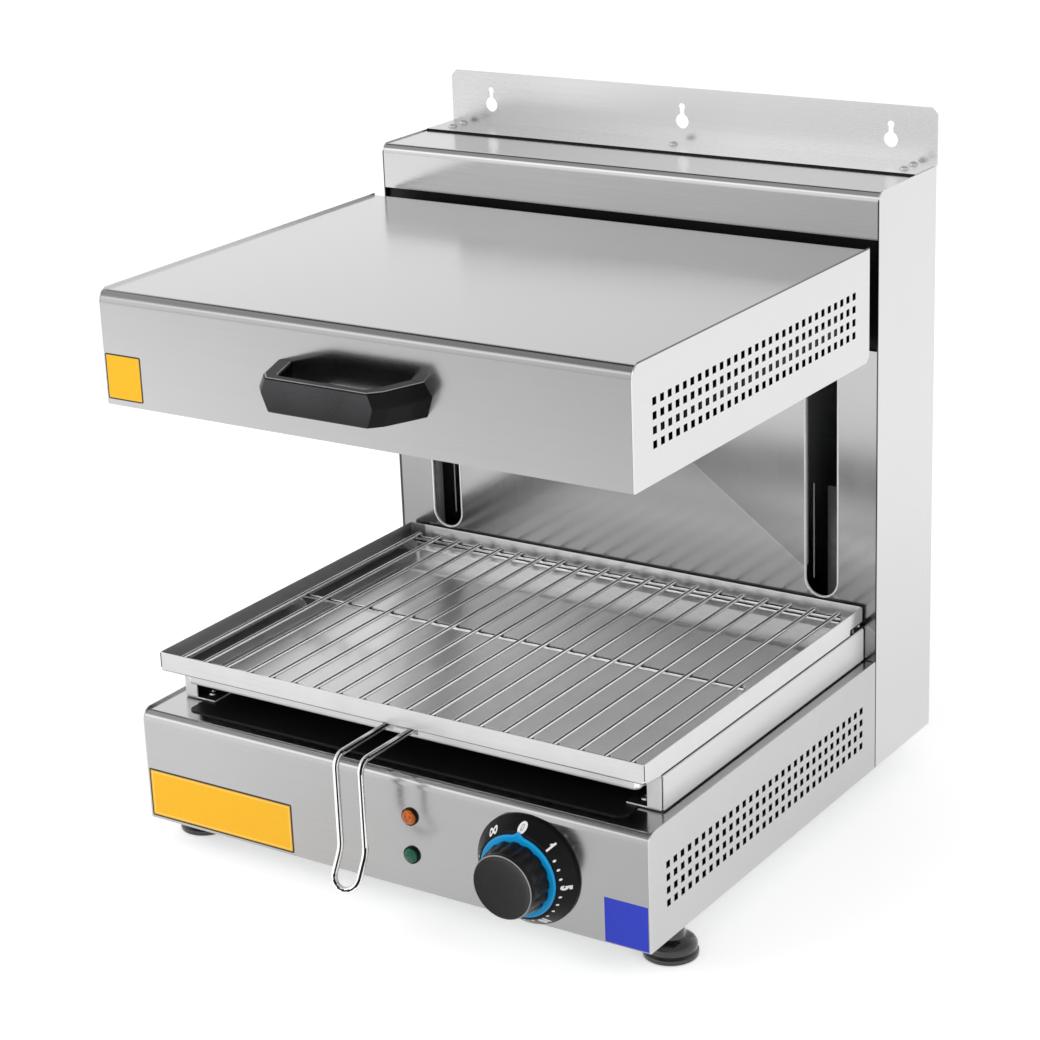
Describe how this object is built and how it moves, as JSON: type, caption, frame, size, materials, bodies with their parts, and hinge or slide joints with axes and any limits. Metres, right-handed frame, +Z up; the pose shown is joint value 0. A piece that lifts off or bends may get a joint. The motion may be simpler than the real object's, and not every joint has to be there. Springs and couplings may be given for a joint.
{
  "type": "rise-and-fall cheese melter",
  "caption": "Counter-top or wall-hung cheese melter with a hood that rises and falls on a rear column over a sliding drip tray and wire grate.",
  "frame": {"origin": "on the floor under the middle of the object's box at rest, hood raised and tray in", "axes": "+Z up, the control panel faces -Y, +X to the right of someone facing the panel"},
  "size_m": [0.4646, 0.5036, 0.5305],
  "materials": {
    "brushed_panel": "satin brushed across the width",
    "side_panel": "fine satin",
    "hidden_sheet": "mill finish",
    "tray_sheet": "half bright",
    "bright_wire": "bright",
    "ground_steel": "ground",
    "fastener": "plated",
    "black_enamel": "satin black",
    "weight_paint": "matt black",
    "slide_aluminium": "machined",
    "reflector_sheet": "bright annealed",
    "element_sheath": "oxidised dark",
    "ceramic": "glazed",
    "black_plastic": "satin",
    "blue_plastic": "satin",
    "orange_lens": "faceted",
    "green_lens": "faceted",
    "pulley_nylon": "moulded",
    "black_rubber": "matt",
    "cable_steel": "stranded"
  },
  "bodies": {
    "chassis": {"base_shell": "brushed_panel", "base_side_right": "side_panel", "base_side_left": "side_panel", "base_bottom": "hidden_sheet", "deck_plate": "black_enamel", "runner_right": "tray_sheet", "runner_left": "tray_sheet", "column_side_right": "side_panel", "column_side_left": "side_panel", "column_front": "brushed_panel", "column_top": "brushed_panel", "column_back": "hidden_sheet", "wall_bracket": "brushed_panel", "screws": "fastener", "guide_rods": "ground_steel", "rod_holders": "hidden_sheet", "stop_collars": "black_rubber", "pulley_bracket": "hidden_sheet", "pulley_axle": "ground_steel", "cable_arcs": "cable_steel", "weight_guides": "hidden_sheet", "timer_case": "black_plastic", "dial": "black_plastic", "lamp_orange": "orange_lens", "lamp_green": "green_lens", "lamp_bezels": "black_plastic", "terminal_block": "ceramic", "cord_grommet": "black_rubber", "foot_nuts": "fastener", "cables_hood": "cable_steel", "cables_weight": "cable_steel"},
    "hood": {"hood_shell": "brushed_panel", "hood_side_right": "side_panel", "hood_side_left": "side_panel", "hood_back": "brushed_panel", "reflector": "reflector_sheet", "element_front": "element_sheath", "element_middle": "element_sheath", "element_rear": "element_sheath", "element_hangers": "hidden_sheet", "element_terminals": "ceramic", "hood_handle": "black_plastic", "handle_screws": "fastener", "lift_arms": "hidden_sheet", "slide_blocks": "slide_aluminium", "cross_beam": "hidden_sheet", "window_shield": "black_enamel"},
    "tray": {"tray": "tray_sheet", "tray_handle": "bright_wire"},
    "grate": {"grate": "bright_wire"},
    "knob": {"knob_cap": "black_plastic", "pointer_ring": "blue_plastic", "knob_shaft": "ground_steel"},
    "pulley_right": {"pulley_right": "pulley_nylon"},
    "pulley_left": {"pulley_left": "pulley_nylon"},
    "counterweight": {"counterweight": "weight_paint"},
    "foot_front_right": {"foot_front_right": "black_rubber"},
    "foot_front_left": {"foot_front_left": "black_rubber"},
    "foot_rear_right": {"foot_rear_right": "black_rubber"},
    "foot_rear_left": {"foot_rear_left": "black_rubber"}
  },
  "joints": [
    {"name": "hood_lift", "type": "slide", "parent": "chassis", "child": "hood", "axis": [0, 0, 1], "range_m": [-0.17, 0], "deforming": ["cables_hood"]},
    {"name": "counterweight_slide", "type": "slide", "parent": "chassis", "child": "counterweight", "axis": [0, 0, 1], "range_m": [0, 0.17], "deforming": ["cables_weight"]},
    {"name": "pulley_right_spin", "type": "hinge", "parent": "chassis", "child": "pulley_right", "pos_m": [0.06, 0.21077, 0.4598], "axis": [1, 0, 0], "range_deg": [0, 573]},
    {"name": "pulley_left_spin", "type": "hinge", "parent": "chassis", "child": "pulley_left", "pos_m": [-0.06, 0.21077, 0.4598], "axis": [1, 0, 0], "range_deg": [0, 573]},
    {"name": "knob_turn", "type": "hinge", "parent": "chassis", "child": "knob", "pos_m": [0.1265, -0.19823, 0.0673], "axis": [0, 1, 0], "range_deg": [-45, 280]},
    {"name": "tray_slide", "type": "slide", "parent": "chassis", "child": "tray", "axis": [0, -1, 0], "range_m": [0, 0.24]},
    {"name": "grate_lift", "type": "slide", "parent": "tray", "child": "grate", "axis": [0, 0, 1], "range_m": [0, 0.06]},
    {"name": "foot_front_right_turn", "type": "hinge", "parent": "chassis", "child": "foot_front_right", "pos_m": [0.212, -0.15023, 0], "axis": [0, 0, 1], "continuous": true},
    {"name": "foot_front_left_turn", "type": "hinge", "parent": "chassis", "child": "foot_front_left", "pos_m": [-0.212, -0.15023, 0], "axis": [0, 0, 1], "continuous": true},
    {"name": "foot_rear_right_turn", "type": "hinge", "parent": "chassis", "child": "foot_rear_right", "pos_m": [0.14, 0.21077, 0], "axis": [0, 0, 1], "continuous": true},
    {"name": "foot_rear_left_turn", "type": "hinge", "parent": "chassis", "child": "foot_rear_left", "pos_m": [-0.14, 0.21077, 0], "axis": [0, 0, 1], "continuous": true}
  ],
  "couplings": [
    {"joint": "counterweight_slide", "follows": "hood_lift", "ratio": -1},
    {"joint": "pulley_right_spin", "follows": "hood_lift", "rad_per_m": -58.824},
    {"joint": "pulley_left_spin", "follows": "hood_lift", "rad_per_m": -58.824}
  ]
}
